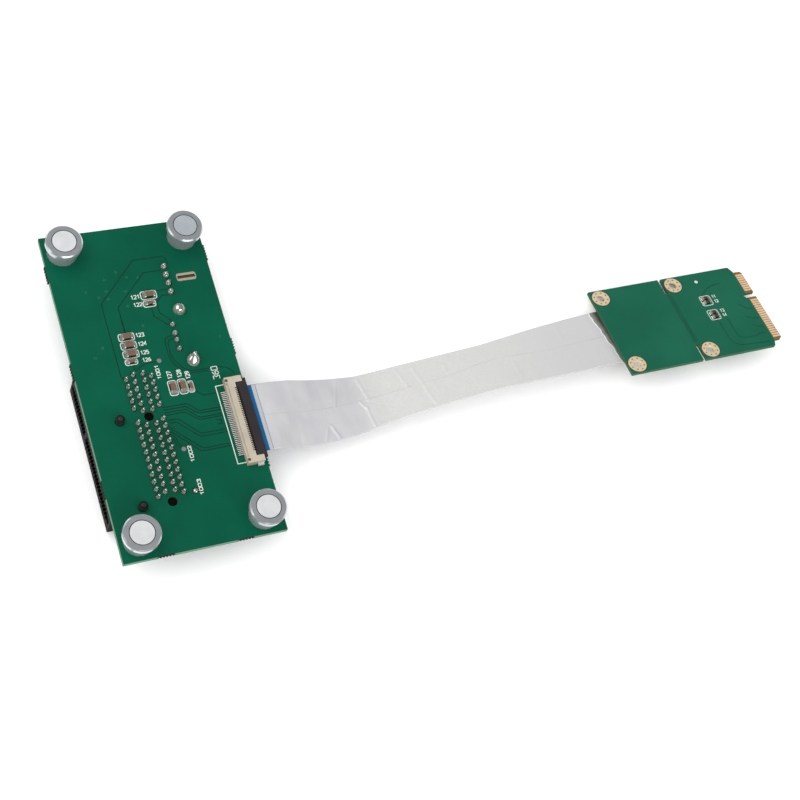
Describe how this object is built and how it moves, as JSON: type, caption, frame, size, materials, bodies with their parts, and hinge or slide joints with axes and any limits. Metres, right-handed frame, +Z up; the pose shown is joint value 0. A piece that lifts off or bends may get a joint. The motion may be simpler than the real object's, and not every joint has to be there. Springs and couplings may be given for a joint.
{
  "type": "mini card to card slot adapter",
  "caption": "Adapter: a mini card on a foil wrapped ribbon that carries its signals to a board with a right angle card slot and magnet feet.",
  "frame": {"origin": "bottom centre of the two boards' box, on the surface they rest on", "axes": "+X from the main board to the mini card's tongue, +Y along the main board, +Z up, out of the face with the feet"},
  "size_m": [0.2, 0.09, 0.0176],
  "materials": {
    "board_mask": "satin solder mask",
    "card_mask": "satin solder mask",
    "slot_plastic": "moulded, slightly grained",
    "contact_metal": "plated",
    "solder": "bright tin",
    "shell_metal": "tin plated sheet",
    "dark_plastic": "moulded",
    "pale_plastic": "moulded",
    "pin_metal": "plated",
    "ribbon_foil": "creased foil wrap",
    "stiffener_film": "satin film",
    "gold": "gold plated",
    "capacitor_ceramic": "fired ceramic",
    "capacitor_metal": "tin plated",
    "foot_steel": "zinc plated, turned",
    "magnet_face": "nickel plated",
    "screw_steel": "zinc plated"
  },
  "bodies": {
    "boards": {"main_board": "board_mask", "mini_card": "card_mask", "slot_housing": "slot_plastic", "slot_contacts": "contact_metal", "usb_contacts": "contact_metal", "board_socket_contacts": "contact_metal", "card_socket_contacts": "contact_metal", "slot_solder": "solder", "usb_solder": "solder", "power_solder": "solder", "usb_shell": "shell_metal", "power_hold_down": "shell_metal", "board_socket_tabs": "shell_metal", "card_socket_tabs": "shell_metal", "usb_block": "dark_plastic", "board_socket_housing": "pale_plastic", "card_socket_housing": "pale_plastic", "power_header": "pale_plastic", "power_pins": "pin_metal", "ribbon_cable": "ribbon_foil", "ribbon_stiffener_board": "stiffener_film", "ribbon_stiffener_card": "stiffener_film", "card_fingers_upper": "gold", "card_fingers_lower": "gold", "card_hole_pads": "gold", "test_pads": "gold", "power_capacitor_bodies": "capacitor_ceramic", "supply_capacitor_bodies": "capacitor_ceramic", "slot_capacitor_bodies": "capacitor_ceramic", "card_capacitor_bodies": "capacitor_ceramic", "power_capacitor_ends": "capacitor_metal", "supply_capacitor_ends": "capacitor_metal", "slot_capacitor_ends": "capacitor_metal", "card_capacitor_ends": "capacitor_metal", "foot_cup_left_back": "foot_steel", "foot_cup_right_back": "foot_steel", "foot_cup_left_front": "foot_steel", "foot_cup_right_front": "foot_steel", "foot_magnet_left_back": "magnet_face", "foot_magnet_right_back": "magnet_face", "foot_magnet_left_front": "magnet_face", "foot_magnet_right_front": "magnet_face", "foot_screw_left_back": "screw_steel", "foot_screw_right_back": "screw_steel", "foot_screw_left_front": "screw_steel", "foot_screw_right_front": "screw_steel"},
    "board_latch": {"board_socket_latch": "dark_plastic"},
    "card_latch": {"card_socket_latch": "dark_plastic"}
  },
  "joints": [
    {"name": "board_latch_flip", "type": "hinge", "parent": "boards", "child": "board_latch", "pos_m": [-0.05976, -0.01465, 0.01049], "axis": [0, -1, 0], "range_deg": [0, 90]},
    {"name": "card_latch_flip", "type": "hinge", "parent": "boards", "child": "card_latch", "pos_m": [0.05736, -0.01012, 0.00313], "axis": [0.0069, -0.974, 0.2265], "range_deg": [0, 90]}
  ]
}
